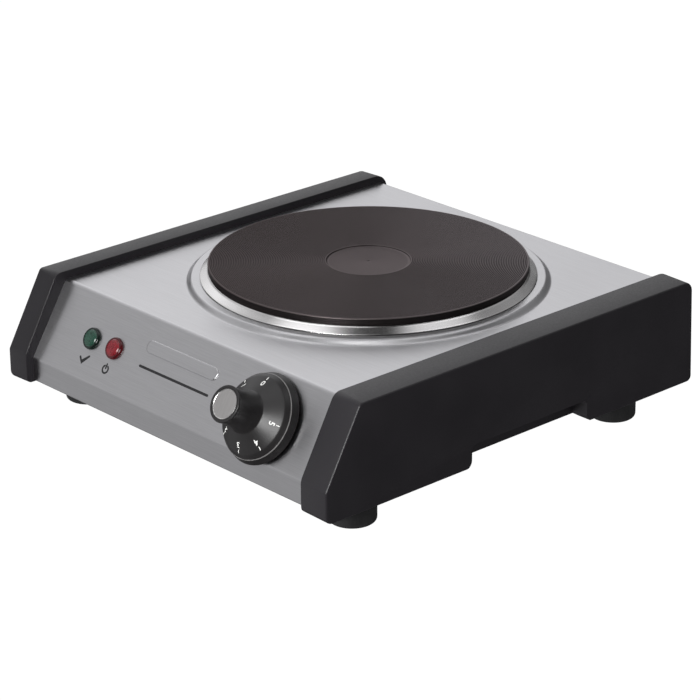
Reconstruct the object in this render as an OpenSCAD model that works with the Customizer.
// Single-plate countertop hot plate: sealed cast-iron plate in a folded steel
// case between two moulded side rails, with a skirted dial knob and two lamps.
// Millimetres. +X to the right of someone facing the dial, +Y to the back, +Z up.

/* [Case] */
// Width over the outer faces of the two side rails
case_w = 279; // [272:1:290]
// Depth of the side rails, front to back
case_d = 289.5; // [286:0.5:296]
// Thickness of each side rail
rail_t = 18.8; // [17:0.1:21]
// Height of the steel top above the table
top_z = 76.6; // [74:0.1:78]
// Height of the steel skirt's lower edge above the table
skirt_z = 19.4; // [19.2:0.1:20]
// Height of the fold between the front skirt and the sloped panel
fold_z = 34.1; // [32:0.1:36]
// Wall of the folded steel case
sheet_t = 0.8; // [0.6:0.1:1]

/* [Cooking plate] */
// Diameter of the cast-iron plate
plate_d = 188; // [186:1:190]
// Height of the plate's cooking face above the table
plate_z = 88; // [87:0.1:90]
// Distance of the plate's centre behind the case centre
plate_y = 16.6; // [12:0.1:20]
// Diameter of the recessed centre disc
recess_d = 49.3; // [40:0.1:56]
// Depth of the recessed centre disc
recess_h = 0.8; // [0.4:0.1:1.5]
// Outer diameter of the polished trim ring
trim_d = 197.6; // [196:0.1:200]
// Outer diameter of the raised ring pressed into the steel top
raised_d = 214.4; // [212:0.1:218]

/* [Knob] */
// Distance of the knob's axis right of the centre
knob_x = 73; // [66:0.5:78]
// Distance of the knob's axis up the sloped panel from its lower fold
knob_s = 22; // [21:0.1:24]
// Diameter of the knob's skirt where it meets the panel
knob_d = 52.2; // [50:0.1:54]
// Height of the grip's end above the panel
grip_h = 33; // [30:0.5:36]
// Diameter of the grip's end
grip_d = 21.2; // [20:0.1:23]
// Diameter of the metal disc in the grip's end
insert_d = 17; // [14:0.1:18]
// Angle from off to the highest setting
knob_turn = 270; // [240:15:285]

/* [Lamps] */
// Diameter of each lamp lens
lamp_d = 13.2; // [12.6:0.1:15]
// Distance of the ready lamp left of the centre
ready_x = 79.4; // [76:0.1:84]
// Distance of the heating lamp left of the centre
on_x = 58.7; // [55:0.1:60]
// Distance of the lamps up the panel from its lower fold
lamp_s = 24.2; // [20:0.1:28]

/* [Feet] */
// Diameter of each rubber foot
foot_d = 27.4; // [24:0.1:28]
// Distance of the feet either side of the centre
foot_x = 116; // [112:0.5:116]
// Distance of the feet in front of and behind the centre
foot_y = 103.5; // [98:0.5:108]

/* [Cord inlet] */
// Diameter of the hole that the mains lead passes through
cord_d = 7.3; // [6.5:0.1:8]
// Distance of the inlet left of the centre
cord_x = 80; // [60:1:90]

/* [Hidden] */
$fn = 96;

in_x = case_w / 2 - rail_t;            // inner face of the rails
cover_x = in_x;                        // ends of the steel cover
front_y = -case_d / 2 + 5.1;           // front skirt of the steel cover
rear_y = case_d / 2 - 4.25;            // rear skirt of the steel cover
top_y = front_y + 26.58 * (top_z - fold_z) / 42.5; // fold between panel and top
slope = atan2(top_z - fold_z, top_y - front_y);
pan_z = skirt_z - 0.9;                 // underside of the base pan
step_z = top_z + 3.1;                  // flat of the raised ring
rail_top = top_z + 4.8;
rail_low = skirt_z - 0.5;
// the rails' rear edges lean back towards their lower corners
lean_h = (90 - atan2(2.4, rail_top - rail_low + 0.6)) / 2;
rail_rear = case_d / 2 + 1.3 - 3.5 * (1 / tan(lean_h) - 1);
tip_y = front_y + knob_s * cos(slope) - grip_h * sin(slope) - (grip_d / 2 - 0.5) * cos(slope);
shift_y = -(tip_y + rail_rear) / 2;    // puts the origin under the middle of the whole object
rim_z = plate_z - 4.4;                 // underside of the plate's rim
hole_r = plate_d / 2 - 2.6;            // hole in the steel top
skirt_r = plate_d / 2 - 4.1;           // plate body below the rim
web_z = plate_z - 6.5;                 // underside of the plate's web
plate_low = plate_z - 20;              // lower edge of the plate's ribs
coil_r = [80.3, 73.8, 67.3, 51, 42.5];
pin_a = 7.5;                           // half angle between a coil's two pins
cam_rise = 1.5;

// ---- helpers ----
module place() translate([0, shift_y, 0]) children();
module at_plate() translate([0, plate_y, 0]) children();
module on_panel(x, s) translate([x, front_y + s * cos(slope), fold_z + s * sin(slope)]) rotate([slope, 0, 0]) children();
module both() { children(); mirror([1, 0, 0]) children(); }

function unit(v) = v / norm(v);
function arc_at(a, b, c, r, n) =
  let (u = unit(a - b), w = unit(c - b), h = acos(u * w) / 2, o = b + unit(u + w) * (r / sin(h)),
       p = b + u * (r / tan(h)), q = b + w * (r / tan(h)),
       s = atan2(p[1] - o[1], p[0] - o[0]), e = atan2(q[1] - o[1], q[0] - o[0]),
       t = e - s > 180 ? e - s - 360 : e - s < -180 ? e - s + 360 : e - s)
  [for (i = [0:n]) o + r * [cos(s + t * i / n), sin(s + t * i / n)]];
// polygon with each corner rounded to its own radius
function rounded(pts, rad, n = 6) = let (m = len(pts))
  [for (i = [0:m - 1]) each arc_at(pts[(i + m - 1) % m], pts[i], pts[(i + 1) % m], rad[i], n)];
// convex polygon moved inwards by d
function inset(pts, d) = let (m = len(pts))
  [for (i = [0:m - 1]) let (u = unit(pts[(i + m - 1) % m] - pts[i]), w = unit(pts[(i + 1) % m] - pts[i]),
    h = acos(u * w) / 2) pts[i] + unit(u + w) * (d / sin(h))];
// a side profile (Y, Z) carried along X from x0 to x1
module along_x(x0, x1) translate([x0, 0, 0]) rotate([90, 0, 90]) linear_extrude(x1 - x0) children();
module plate_of(pts, x0, x1) along_x(x0, x1) polygon(pts);

// smooth path through hand-set points, k pieces a span
function spline(p, k = 4) = let (n = len(p)) concat(
  [for (i = [0:n - 2], j = [0:k - 1]) let (t = j / k, a = p[max(i - 1, 0)], b = p[i], c = p[i + 1], d = p[min(i + 2, n - 1)])
    0.5 * (2 * b + t * (c - a) + t * t * (2 * a - 5 * b + 4 * c - d) + t * t * t * (3 * b - a - 3 * c + d))], [p[n - 1]]);
module tube(pts, r, sides = 8) {
  p = spline(pts);
  n = len(p);
  tan_at = [for (i = [0:n - 1]) unit(p[min(i + 1, n - 1)] - p[max(i - 1, 0)])];
  ref = [0.11, 0.23, 0.97];
  ring = [for (i = [0:n - 1]) let (a = unit(cross(tan_at[i], ref)), b = cross(tan_at[i], a))
    each [for (k = [0:sides - 1]) p[i] + r * (a * cos(360 * k / sides) + b * sin(360 * k / sides))]];
  polyhedron(points = ring, faces = concat(
    [[for (k = [sides - 1:-1:0]) k]], [[for (k = [0:sides - 1]) (n - 1) * sides + k]],
    [for (i = [0:n - 2], k = [0:sides - 1]) let (a = i * sides + k, b = i * sides + (k + 1) % sides) [a, b, b + sides, a + sides]]));
}
module pan_head(r, h) rotate_extrude() polygon([[0, 0], [r, 0], [r, h * 0.55], [r * 0.72, h], [0, h]]);
module slot(l, w, h) { translate([-l / 2, -w / 2, 0]) cube([l, w, h]); for (s = [-1, 1]) translate([s * l / 2, 0, 0]) cylinder(r = w / 2, h = h, $fn = 32); }

// ---- case ----
cover_pts = [[front_y, skirt_z], [rear_y, skirt_z], [rear_y, top_z], [top_y, top_z], [front_y, fold_z]];
cover_rad = [1.2, 1.2, 2.6, 3, 3.2];

module top_cover() color([0.74, 0.74, 0.75]) {
  difference() {
    union() {
      difference() {
        plate_of(rounded(cover_pts, cover_rad), -cover_x, cover_x);
        plate_of(rounded(inset(cover_pts, sheet_t), [for (r = cover_rad) max(r - sheet_t, 0.4)]), -cover_x + sheet_t, cover_x - sheet_t);
        // end walls are flanges round an open middle
        plate_of(rounded(inset(cover_pts, 12), [2, 2, 4, 4, 4]), -cover_x - 1, cover_x + 1);
        translate([-cover_x - 1, front_y + 12, 0]) cube([2 * cover_x + 2, rear_y - front_y - 24, 34]);
        // opening between the two turned-in lips
        translate([-cover_x + 6, front_y + 19, 0]) cube([2 * cover_x - 12, rear_y - front_y - 38, skirt_z + 2]);
        at_plate() translate([0, 0, top_z - 4]) cylinder(r = raised_d / 2, h = 8, $fn = 180);
      }
      at_plate() rotate_extrude($fn = 180) polygon(concat(
        [[hole_r, step_z]], [for (i = [0:10]) [raised_d / 2 - 4.2 + 4.2 * i / 10, top_z + (step_z - top_z) * (0.5 + 0.5 * cos(18 * i))]],
        [[raised_d / 2 + 0.4, top_z], [raised_d / 2 + 0.4, top_z - sheet_t]],
        [for (i = [10:-1:0]) [raised_d / 2 - 4.8 + 4.2 * i / 10, top_z - sheet_t + (step_z - top_z) * (0.5 + 0.5 * cos(18 * i))]],
        [[hole_r, step_z - sheet_t]]));
    }
    on_panel(knob_x, knob_s) {
      translate([0, 0, -3]) cylinder(r = 5.3, h = 6);
      for (s = [-1, 1]) translate([s * 14, 0, -3]) cylinder(r = 1.9, h = 6, $fn = 32);
    }
    for (x = [-ready_x, -on_x]) on_panel(x, lamp_s) translate([0, 0, -3]) cylinder(r = 5.3, h = 6);
    translate([-cord_x, rear_y - 3, 42]) rotate([-90, 0, 0]) cylinder(r = 7.1, h = 6);
    for (y = [-90, 105]) translate([-cover_x - 1, y, 70]) rotate([0, 90, 0]) cylinder(r = 1.9, h = 2 * cover_x + 2, $fn = 32);
    for (x = [-90, 0, 90], y = [front_y + 12.5, rear_y - 12.5]) translate([x, y, skirt_z - 1]) cylinder(r = 1.5, h = 3, $fn = 32);
  }
}

pan_x = cover_x - sheet_t - 0.1;
module base_pan() color([0.1, 0.1, 0.11]) difference() {
  union() {
    translate([-pan_x, front_y + 2.6, pan_z]) cube([2 * pan_x, rear_y - front_y - 5.2, 0.9]);
    // upright side flanges that the rails screw to
    both() translate([pan_x - 0.9, front_y + 20, pan_z]) cube([0.9, rear_y - front_y - 40, 26]);
  }
  for (x = [-90, 0, 90], y = [front_y + 12.5, rear_y - 12.5]) translate([x, y, pan_z - 1]) cylinder(r = 1.9, h = 3, $fn = 32);
  both() for (y = [-100, 105]) translate([pan_x - 2, y, 31]) rotate([0, 90, 0]) cylinder(r = 1.9, h = 4, $fn = 32);
  both() for (y = [-foot_y, foot_y]) translate([foot_x, y, pan_z - 1]) cylinder(r = 2, h = 3, $fn = 32);
  // two banks of vent slots under the plate
  for (x = [-45, 45], i = [-4:4]) translate([x, plate_y + i * 11, pan_z - 1]) slot(52, 3, 3);
  for (i = [-3:3]) translate([40 + i * 9, front_y + 34, pan_z - 1]) rotate([0, 0, 90]) slot(16, 3, 3);
  translate([-35, 112, pan_z - 1]) cylinder(r = 2.05, h = 3, $fn = 32);
  for (x = [-90, 90], y = [-52, 76]) translate([x, y, pan_z - 1]) cylinder(r = 1.7, h = 3, $fn = 32);
}

rail_in = [[-case_d / 2, rail_low], [case_d / 2 + 1, rail_low], [case_d / 2, rail_top], [-case_d / 2 + 24.55, rail_top], [-case_d / 2, fold_z + 3.5]];
rail_out = [[-case_d / 2 + 1.35, rail_low - 2.15], [case_d / 2 + 1.3, rail_low - 2.15], [case_d / 2 - 1.1, rail_top - 1.55],
  [-case_d / 2 + 26.4, rail_top - 1.55], [-case_d / 2 + 1.35, fold_z + 1.4]];
in_rad = [3.5, 3.5, 10, 7, 8];
out_rad = [5, 3.5, 6, 3, 4];
grip_y0 = -35.5;  // finger recess, front and back ends
grip_y1 = 56.3;
grip_z = 30.6;
grip_x = case_w / 2 - 12.5;

module rail() {
  ox = case_w / 2;
  difference() {
    hull() {
      plate_of(rounded(rail_in, in_rad), in_x, in_x + 0.01);
      plate_of(rounded(rail_out, out_rad), ox - 1.2, ox - 1.19);
      plate_of(rounded(inset(rail_out, 1), [for (r = out_rad) r - 0.9]), ox - 0.01, ox);
    }
    // hollow, open towards the case, with the recess wall and screw bosses left in
    difference() {
      hull() {
        plate_of(rounded(inset(cover_pts, 2), [1, 1, 3, 4, 4]), in_x - 0.1, in_x - 0.09);
        plate_of(rounded(inset(rail_out, 4), [1, 1, 3, 6, 7]), ox - 2.8, ox - 2.79);
      }
      translate([grip_x - 2.7, grip_y0 - 2.7, 0]) cube([20, grip_y1 - grip_y0 + 5.4, grip_z + 2.7]);
      for (p = [[-100, 31], [105, 31], [-90, 70], [105, 70]]) translate([in_x, p[0], p[1]]) rotate([0, 90, 0]) cylinder(r = 4, h = rail_t, $fn = 48);
      // stiffening ribs
      for (y = [-70, 85, 125]) translate([in_x + 3, y - 0.9, 0]) cube([20, 1.8, 100]);
    }
    // finger recess along the lower outer edge
    plate_of(rounded([[grip_y0 - 14, 8], [grip_y0 - 14, rail_low - 2.15], [grip_y0, rail_low - 2.15], [grip_y0, grip_z],
      [grip_y1, grip_z], [grip_y1, rail_low - 2.15], [grip_y1 + 14, rail_low - 2.15], [grip_y1 + 14, 8]],
      [0.5, 0.5, 5, 3.5, 3.5, 5, 0.5, 0.5]), grip_x, ox + 2);
    for (p = [[-100, 31], [105, 31], [-90, 70], [105, 70]]) translate([in_x - 1, p[0], p[1]]) rotate([0, 90, 0]) cylinder(r = 1.35, h = 12, $fn = 32);
  }
}
module right_rail() color([0.13, 0.13, 0.14]) rail();
module left_rail() color([0.13, 0.13, 0.14]) mirror([1, 0, 0]) rail();

module rail_screws() color([0.6, 0.6, 0.62]) both() {
  for (y = [-100, 105]) translate([pan_x - 0.9, y, 31]) rotate([0, -90, 0]) { pan_head(3.2, 2.2); translate([0, 0, -11]) cylinder(r = 1.3, h = 11.1, $fn = 32); }
  for (y = [-90, 105]) translate([cover_x - sheet_t, y, 70]) rotate([0, -90, 0]) { pan_head(3.2, 2.2); translate([0, 0, -10]) cylinder(r = 1.3, h = 10.1, $fn = 32); }
}
module base_screws() color([0.6, 0.6, 0.62])
  for (x = [-90, 0, 90], y = [front_y + 12.5, rear_y - 12.5]) translate([x, y, pan_z]) { mirror([0, 0, 1]) pan_head(3.2, 2.2); cylinder(r = 1.45, h = 6, $fn = 32); }

module feet() color([0.08, 0.08, 0.08]) both() for (y = [-foot_y, foot_y]) translate([foot_x, y, 0]) rotate_extrude()
  polygon(concat([[5.2, 0]], [for (i = [0:6]) [foot_d / 2 - 2.2 + 2.2 * sin(15 * i), 2.2 - 2.2 * cos(15 * i)]],
    [[foot_d / 2, pan_z - 1.4], [4.4, pan_z - 0.25], [4.4, pan_z], [2.1, pan_z], [2.1, 12], [5.2, 12]]));
module foot_screws() color([0.6, 0.6, 0.62]) both() for (y = [-foot_y, foot_y]) translate([foot_x, y, 12]) {
  mirror([0, 0, 1]) pan_head(4, 2.6);
  cylinder(r = 1.95, h = pan_z - 12 + 4, $fn = 32);
}

// ---- cooking plate ----
module hotplate() color([0.2, 0.19, 0.19]) at_plate() difference() {
  rotate_extrude($fn = 180) polygon([[0, plate_z - recess_h], [recess_d / 2 - 0.5, plate_z - recess_h], [recess_d / 2, plate_z],
    [plate_d / 2 - 0.7, plate_z], [plate_d / 2, plate_z - 0.7], [plate_d / 2, rim_z], [skirt_r, rim_z], [skirt_r, plate_low], [86, plate_low],
    [86, web_z], [62, web_z], [62, plate_low], [58, plate_low], [58, web_z], [36, web_z], [36, plate_low], [32, plate_low], [32, web_z],
    [8, web_z], [8, plate_low + 2], [0, plate_low + 2]]);
  translate([0, 0, plate_low]) cylinder(r = 3.02, h = 12, $fn = 48);
}
module trim_ring() color([0.85, 0.85, 0.86]) at_plate() rotate_extrude($fn = 180) polygon([
  [hole_r - 1.1, step_z - 3.2], [hole_r - 0.5, step_z - 3.2], [hole_r - 0.5, rim_z - 0.7], [plate_d / 2 - 0.5, rim_z - 0.7],
  // straight cone down to a lip just clear of the steel
  [trim_d / 2 - 0.7, step_z + 0.35], [trim_d / 2 - 0.15, step_z + 0.3], [trim_d / 2, step_z + 0.45], [trim_d / 2 - 0.1, step_z + 0.65],
  [plate_d / 2 - 0.1, rim_z - 0.2], [plate_d / 2 - 0.4, rim_z - 0.1], [hole_r - 1.1, rim_z - 0.1]]);

module ceramic_filling() color([0.9, 0.88, 0.82]) at_plate() difference() {
  for (b = [[62.2, 85.8], [36.2, 57.8]]) rotate_extrude() translate([b[0], plate_low + 2]) square([b[1] - b[0], web_z - plate_low - 2.05]);
  // open channels for the coils
  for (r = coil_r) rotate_extrude() translate([r - 2.4, plate_low + 1]) square([4.8, 7]);
}
module heating_coils() color([0.45, 0.38, 0.33]) at_plate() for (r = coil_r) {
  rotate([0, 0, 90 + pin_a]) rotate_extrude(angle = 360 - 2 * pin_a) translate([r, plate_low + 5]) circle(r = 2.1, $fn = 24);
  for (s = [-1, 1]) rotate([0, 0, 90 + s * pin_a]) translate([r, 0, plate_low + 5]) sphere(r = 2.1, $fn = 24);
  for (s = [-1, 1]) rotate([0, 0, 90 + s * pin_a]) translate([r, 0, plate_low - 7]) cylinder(r = 0.9, h = 12, $fn = 24);
}
module pin_holes(r0) for (r = coil_r, s = [-1, 1]) rotate([0, 0, 90 + s * pin_a]) translate([r, 0, plate_low - 4]) cylinder(r = r0, h = 8, $fn = 24);
module insulation_rings() color([0.93, 0.93, 0.9]) at_plate() difference() {
  for (b = [[62.4, 85.6], [36.4, 57.6]]) rotate_extrude() translate([b[0], plate_low - 0.5]) square([b[1] - b[0], 2.3]);
  pin_holes(1.5);
}
module plate_undercover() color([0.66, 0.67, 0.68]) at_plate() difference() {
  rotate_extrude($fn = 120) polygon([[3.4, plate_low - 1.2], [88, plate_low - 1.2], [89, plate_low - 0.6], [89, plate_low - 0.05], [87.6, plate_low - 0.05], [87.4, plate_low - 0.6], [3.4, plate_low - 0.6]]);
  pin_holes(2);
}
stud_low = plate_low - 17;
module hex_nut(r, bore, h) difference() { cylinder(r = r, h = h, $fn = 6); translate([0, 0, -1]) cylinder(r = bore, h = h + 2, $fn = 48); }
module centre_stud() color([0.62, 0.62, 0.64]) at_plate() translate([0, 0, stud_low]) cylinder(r = 3, h = plate_low + 11 - stud_low, $fn = 48);
module undercover_nut() color([0.7, 0.7, 0.72]) at_plate() translate([0, 0, plate_low - 5.2]) hex_nut(5.6, 3.02, 4);
bridge_z = plate_low - 10;
module mounting_bridge() color([0.6, 0.61, 0.63]) at_plate() difference() {
  union() {
    translate([-98.5, -10, bridge_z]) cube([197, 20, 2]);
    // ends turned up to bear on the underside of the steel top
    both() translate([96.5, -10, bridge_z]) cube([2, 20, step_z - sheet_t - bridge_z]);
  }
  translate([0, 0, bridge_z - 1]) cylinder(r = 3.3, h = 4, $fn = 48);
}
module bridge_nut() color([0.7, 0.7, 0.72]) at_plate() translate([0, 0, bridge_z - 5.4]) {
  hex_nut(5.6, 3.02, 4.4);
  difference() { translate([0, 0, 4.4]) cylinder(r = 8, h = 1, $fn = 48); cylinder(r = 3.3, h = 6, $fn = 48); }
}
module terminal_block() color([0.9, 0.89, 0.85]) at_plate() translate([-3.4, 38, plate_low - 10.4]) difference() {
  cube([6.8, 46, 9.1]);
  for (r = coil_r) translate([-1, r - 38 - 2.7, 2.8]) cube([2.4, 5.4, 1.2]);
  for (r = coil_r) translate([5.4, r - 38 - 2.7, 2.8]) cube([2.4, 5.4, 1.2]);
}
module terminal_tabs() color([0.8, 0.65, 0.3]) at_plate() for (r = coil_r) both() difference() {
  translate([2.1, r * cos(pin_a) - 2.5 > r - 2.6 ? r - 2.6 : r - 2.6, plate_low - 7.5]) cube([r * sin(pin_a) + 0.4, 5, 0.9]);
  rotate([0, 0, 90 - pin_a]) translate([r, 0, plate_low - 9]) cylinder(r = 0.95, h = 4, $fn = 24);
}
module thermal_cutout() color([0.75, 0.72, 0.66]) at_plate() translate([-46, -34, plate_low - 7.4]) {
  cylinder(r = 8, h = 6.1, $fn = 64);
  for (s = [-1, 1]) translate([s * 11 - 4, -2.5, 1.5]) cube([8, 5, 0.8]);
}
module cutout_strap() color([0.7, 0.7, 0.72]) at_plate() translate([-46, -34, 0]) difference() {
  union() {
    translate([-3, -12, plate_low - 8.2]) cube([6, 24, 0.7]);
    for (s = [-1, 1]) { translate([-3, s * 11.6 - 0.4, plate_low - 8.2]) cube([6, 0.8, 6.9]); translate([-3, s > 0 ? 11.2 : -18, plate_low - 1.9]) cube([6, 6.8, 0.6]); }
  }
  for (s = [-1, 1]) translate([0, s * 15, plate_low - 4]) cylinder(r = 1.6, h = 4, $fn = 24);
}
module sensor_bulb() color([0.72, 0.5, 0.35]) at_plate() translate([-24, -30, plate_low - 3.6]) rotate([0, 90, 0]) cylinder(r = 2.2, h = 60, $fn = 40);
module bulb_clip() color([0.7, 0.7, 0.72]) at_plate() for (x = [-14, 22]) translate([x, -30, plate_low - 3.6]) {
  rotate([0, 90, 0]) difference() { cylinder(r = 2.9, h = 8, $fn = 40); translate([0, 0, -1]) cylinder(r = 2.3, h = 10, $fn = 40); translate([-4, -4, -1]) cube([4, 8, 10]); }
  for (s = [-1, 1]) translate([0, s * 2.6 - 0.3, 0]) cube([8, 0.6, 2.2]);
  for (s = [-1, 1]) translate([0, s > 0 ? 2.6 : -8.6, 1.75]) cube([8, 6, 0.6]);
}
module capillary_tube() color([0.72, 0.5, 0.35])
  tube([[36.2, plate_y - 30, plate_low - 3.6], [46, plate_y - 31, plate_low - 4.5], [58, -38, 58], [64, -58, 55], [70, -74, 56], [74, -88, 57], [73.5, -96.5, 56.5]], 0.8, 8);

// tray that keeps the heat off the base pan
shield_z = 41;
module heat_shield() color([0.78, 0.79, 0.8]) difference() {
  union() {
    translate([-98, plate_y - 84, shield_z]) cube([196, 168, 0.6]);
    for (x = [-90, 90], y = [-48, 80]) {
      translate([x - 5, y - 0.3, skirt_z]) cube([10, 0.6, shield_z - skirt_z + 0.3]);
      translate([x - 5, y - 7, skirt_z]) cube([10, 14, 0.6]);
    }
  }
  for (x = [-90, 90], y = [-52, 76]) translate([x, y, skirt_z - 1]) cylinder(r = 1.7, h = 3, $fn = 24);
  translate([-60, 70, shield_z - 1]) cylinder(r = 5, h = 3, $fn = 32);
}
module shield_screws() color([0.6, 0.6, 0.62]) for (x = [-90, 90], y = [-52, 76]) translate([x, y, skirt_z + 0.6]) { pan_head(2.8, 2); translate([0, 0, -0.6]) cylinder(r = 1.6, h = 0.7, $fn = 24); }

// ---- control ----
module thermostat_bracket() color([0.7, 0.7, 0.72]) on_panel(knob_x, knob_s) difference() {
  union() {
    translate([-17.2, -11, -sheet_t - 1.2]) cube([34.4, 22, 1.16]);
    for (s = [-1, 1]) translate([s * 16.6 - 0.6, -11, -16]) cube([1.2, 22, 15.1]);
  }
  translate([0, 0, -4]) cylinder(r = 5.3, h = 6, $fn = 48);
  for (s = [-1, 1]) translate([s * 14, 0, -4]) cylinder(r = 1.6, h = 6, $fn = 32);
}
module thermostat_screws() color([0.62, 0.62, 0.64]) on_panel(knob_x, knob_s) for (s = [-1, 1]) translate([s * 14, 0, 0]) { pan_head(2.9, 1.9); translate([0, 0, -5]) cylinder(r = 1.55, h = 5.1, $fn = 32); }
body_z0 = -18;
module thermostat_body() color([0.25, 0.2, 0.17]) on_panel(knob_x, knob_s) difference() {
  union() {
    translate([-16, -14, body_z0]) cube([32, 28, 16 - sheet_t - 7]);
    // raised neck round the shaft
    translate([0, 0, body_z0]) cylinder(r = 8, h = 16.8 - sheet_t, $fn = 64);
  }
  translate([0, 0, body_z0 - 1]) cylinder(r = 3.05, h = 20, $fn = 64);
  translate([0, 0, body_z0 - 1]) cylinder(r = 9.2, h = 6.8, $fn = 64);
}
module thermostat_base() color([0.9, 0.88, 0.82]) on_panel(knob_x, knob_s) difference() {
  union() {
    translate([-16, -14, -28]) cube([32, 28, 10]);
    for (x = [-11, -4, 11]) translate([x - 2.5, -13, -31]) cube([5, 0.8, 3.2]);
  }
  translate([5.5, 0, -30]) cylinder(r = 2.05, h = 14, $fn = 48);
  translate([0, 10, -30]) cylinder(r = 1.2, h = 8, $fn = 32);
}
// spindle with a helical face cam; the cam pushes the plunger in as the knob turns
cam_z = -14.5;
steps = knob_turn / 15;
// ramp between radii a and b, from angle -15 to the full turn plus 15
module ramp(a, b) {
  st = [for (i = [-1:steps + 1]) [15 * i, cam_z - 0.2 - cam_rise * max(0, min(1, i / steps))]];
  n = len(st);
  polyhedron(points = [for (q = st) each [[a * cos(q[0]), a * sin(q[0]), cam_z + 0.8], [b * cos(q[0]), b * sin(q[0]), cam_z + 0.8],
      [b * cos(q[0]), b * sin(q[0]), q[1]], [a * cos(q[0]), a * sin(q[0]), q[1]]]],
    faces = concat([[0, 1, 2, 3]], [[4 * n - 1, 4 * n - 2, 4 * n - 3, 4 * n - 4]],
      [for (i = [0:n - 2]) let (k = 4 * i) each [[k, k + 4, k + 5, k + 1], [k + 1, k + 5, k + 6, k + 2], [k + 2, k + 6, k + 3], [k + 6, k + 7, k + 3], [k + 3, k + 7, k + 4, k]]]));
}
module control_shaft() color([0.72, 0.72, 0.74]) on_panel(knob_x, knob_s) {
  difference() {
    translate([0, 0, cam_z]) cylinder(r = 3, h = 26 - cam_z, $fn = 64);
    translate([-4, 2, 4]) cube([8, 4, 30]);
  }
  translate([0, 0, cam_z]) cylinder(r = 8, h = 2, $fn = 64);
  ramp(3.4, 7.4);
}
module switch_plunger() color([0.92, 0.9, 0.86]) on_panel(knob_x, knob_s) translate([5.5, 0, 0]) {
  translate([0, 0, -18.4]) cylinder(r = 1.2, h = 18.4 + cam_z - 0.2 - 0.45, $fn = 40);
  translate([0, 0, -30.5]) cylinder(r = 2, h = 12.2, $fn = 48);
}
kr = knob_d / 2;
gr = grip_d / 2;
ir = insert_d / 2;
module knob() color([0.1, 0.1, 0.1]) on_panel(knob_x, knob_s) difference() {
  rotate_extrude($fn = 128) polygon([
    [3.05, 1], [6, 1], [6, 7.6], [kr - 5.2, 7.6], [kr - 3.2, 5.6], [kr - 1.9, 1.6], [kr, 1.6], [kr - 1.45, 6.1], [kr - 1.7, 6.6],
    [kr - 2.2, 7.2], [kr - 3.2, 8.6], [kr - 3.7, 9.25], [kr - 4.2, 9.65],
    // conical dial face, then the grip
    [gr + 1.9, 15.3], [gr + 1.5, 15.7], [gr + 1.1, 16.6], [gr + 0.5, 18.4], [gr, 20.5], [gr - 0.4, 23],
    [gr - 0.5, 26], [gr - 0.1, grip_h - 1.4], [gr, grip_h - 0.7], [gr - 0.5, grip_h], [ir + 0.05, grip_h], [ir + 0.05, grip_h - 1.2], [3.05, grip_h - 1.2]]);
  translate([0, 0, 27]) mirror([0, 0, 1]) translate([-2.3, 2, 0]) cube([4.6, 1.8, 14]);
}
module knob_clip() color([0.7, 0.7, 0.72]) on_panel(knob_x, knob_s) {
  translate([-2, 2.1, 14]) cube([4, 0.4, 12]);
  translate([-2, 2.1, 25.6]) cube([4, 1.4, 0.4]);
  translate([-2, 3.1, 20]) cube([4, 0.4, 6]);
}
module knob_insert() color([0.8, 0.8, 0.8]) on_panel(knob_x, knob_s) rotate_extrude() polygon([[0, grip_h - 1.2], [ir, grip_h - 1.2], [ir, grip_h - 0.35], [ir - 0.3, grip_h - 0.1], [0, grip_h - 0.1]]);

// ---- lamps ----
lr = lamp_d / 2;
module lens() rotate_extrude($fn = 72) polygon([[0, 2.9], [lr - 2.2, 2.8], [lr - 1.3, 2.5], [lr - 0.5, 1.7], [lr, 0.5], [lr, 0], [5.2, 0], [5.2, -11], [4.2, -11], [4.2, 0.8], [0, 1.3]]);
module ready_lens() color([0.1, 0.35, 0.22]) on_panel(-ready_x, lamp_s) lens();
module on_lens() color([0.65, 0.08, 0.08]) on_panel(-on_x, lamp_s) lens();
module lamp_housings() color([0.15, 0.15, 0.15]) for (x = [-ready_x, -on_x]) on_panel(x, lamp_s) difference() {
  translate([0, 0, -24]) cylinder(r = 7, h = 24 - sheet_t - 0.05, $fn = 64);
  translate([0, 0, -13]) cylinder(r = 5.25, h = 14, $fn = 64);
}
module neon_lamps() color([0.95, 0.6, 0.4]) for (x = [-ready_x, -on_x]) on_panel(x, lamp_s) {
  translate([0, 0, -13]) cylinder(r = 2.6, h = 9, $fn = 40);
  translate([0, 0, -4]) sphere(r = 2.6, $fn = 40);
}

// ---- cord inlet and terminals ----
cr = cord_d / 2;
module cord_gland() color([0.09, 0.09, 0.09]) translate([-cord_x, rear_y, 42]) rotate([-90, 0, 0]) rotate_extrude() polygon([[cr, -14], [7, -14], [7, 0], [9.5, 0], [9.5, 1.6], [8.2, 3.4], [cr + 1, 3.9], [cr, 3.9]]);
module gland_nut() color([0.12, 0.12, 0.12]) translate([-cord_x, rear_y - sheet_t, 42]) rotate([90, 0, 0]) difference() { cylinder(r = 10.5, h = 5, $fn = 6); translate([0, 0, -1]) cylinder(r = 7.05, h = 7); }
module mains_terminal() color([0.92, 0.92, 0.9]) translate([-94, 92, skirt_z]) difference() {
  cube([38, 18, 15]);
  for (i = [0:2]) translate([7 + 12 * i, 4.5, 8]) { cylinder(r = 2.7, h = 9, $fn = 32); translate([0, 9, 0]) cylinder(r = 2.7, h = 9, $fn = 32); }
}
module mains_terminal_screws() color([0.8, 0.65, 0.3]) for (i = [0:2], j = [0, 1]) translate([-87 + 12 * i, 96.5 + 9 * j, skirt_z + 8]) difference() { cylinder(r = 2.5, h = 5, $fn = 32); translate([-3, -0.4, 4.2]) cube([6, 0.8, 2]); }
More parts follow.
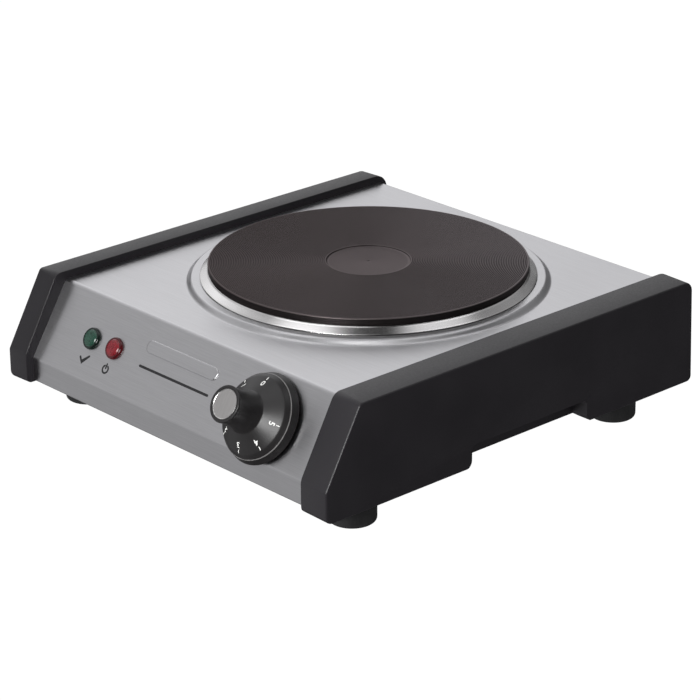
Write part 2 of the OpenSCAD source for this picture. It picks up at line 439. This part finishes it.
module earth_stud() color([0.75, 0.72, 0.5]) translate([-35, 112, pan_z]) {
  mirror([0, 0, 1]) pan_head(3.6, 2);
  cylinder(r = 2, h = 12, $fn = 32);
  translate([0, 0, 0.95]) difference() { cylinder(r = 4, h = 3.2, $fn = 6); translate([0, 0, -1]) cylinder(r = 2.05, h = 6, $fn = 32); }
}
module supply_leads() color([0.75, 0.75, 0.72]) {
  tube([[-75, 91.8, 25], [-74, 78, 25], [-60, 30, 26], [-20, -20, 27], [30, -60, 28], [62, -86, 31]], 1.3, 8);
  tube([[-63, 91.8, 25], [-62, 74, 24.5], [-45, 30, 24], [-5, -20, 24.5], [42, -58, 26], [80, -86, 30]], 1.3, 8);
}
module plate_leads() color([0.75, 0.75, 0.72]) {
  tube([[17, plate_y + 80, 60.6], [22, plate_y + 78, 54], [40, plate_y + 60, 50], [52, 20, 49], [52, -20, 49], [58, -60, 48], [64, -82, 44]], 1.3, 8);
  tube([[-17, plate_y + 80, 60.6], [-22, plate_y + 76, 54], [-50, plate_y + 60, 50], [-60, 40, 49], [-58, 0, 49], [-40, -50, 49], [0, -76, 48], [40, -88, 42]], 1.3, 8);
}
module lamp_leads() color([0.7, 0.2, 0.2]) {
  tube([[-79, -101, 40], [-70, -94, 38], [-40, -94, 36], [0, -96, 34], [48, -98, 34]], 1, 8);
  tube([[-59, -101, 40], [-50, -98, 41], [-25, -99, 40], [8, -101, 38], [48, -101, 40]], 1, 8);
}

place() top_cover();
place() base_pan();
place() left_rail();
place() right_rail();
place() rail_screws();
place() base_screws();
place() feet();
place() foot_screws();
place() hotplate();
place() trim_ring();
place() ceramic_filling();
place() heating_coils();
place() insulation_rings();
place() plate_undercover();
place() undercover_nut();
place() centre_stud();
place() mounting_bridge();
place() bridge_nut();
place() terminal_block();
place() terminal_tabs();
place() thermal_cutout();
place() cutout_strap();
place() sensor_bulb();
place() bulb_clip();
place() capillary_tube();
place() heat_shield();
place() shield_screws();
place() thermostat_bracket();
place() thermostat_screws();
place() thermostat_body();
place() thermostat_base();
place() switch_plunger();
place() control_shaft();
place() knob();
place() knob_clip();
place() knob_insert();
place() ready_lens();
place() on_lens();
place() lamp_housings();
place() neon_lamps();
place() cord_gland();
place() gland_nut();
place() mains_terminal();
place() mains_terminal_screws();
place() earth_stud();
place() supply_leads();
place() plate_leads();
place() lamp_leads();
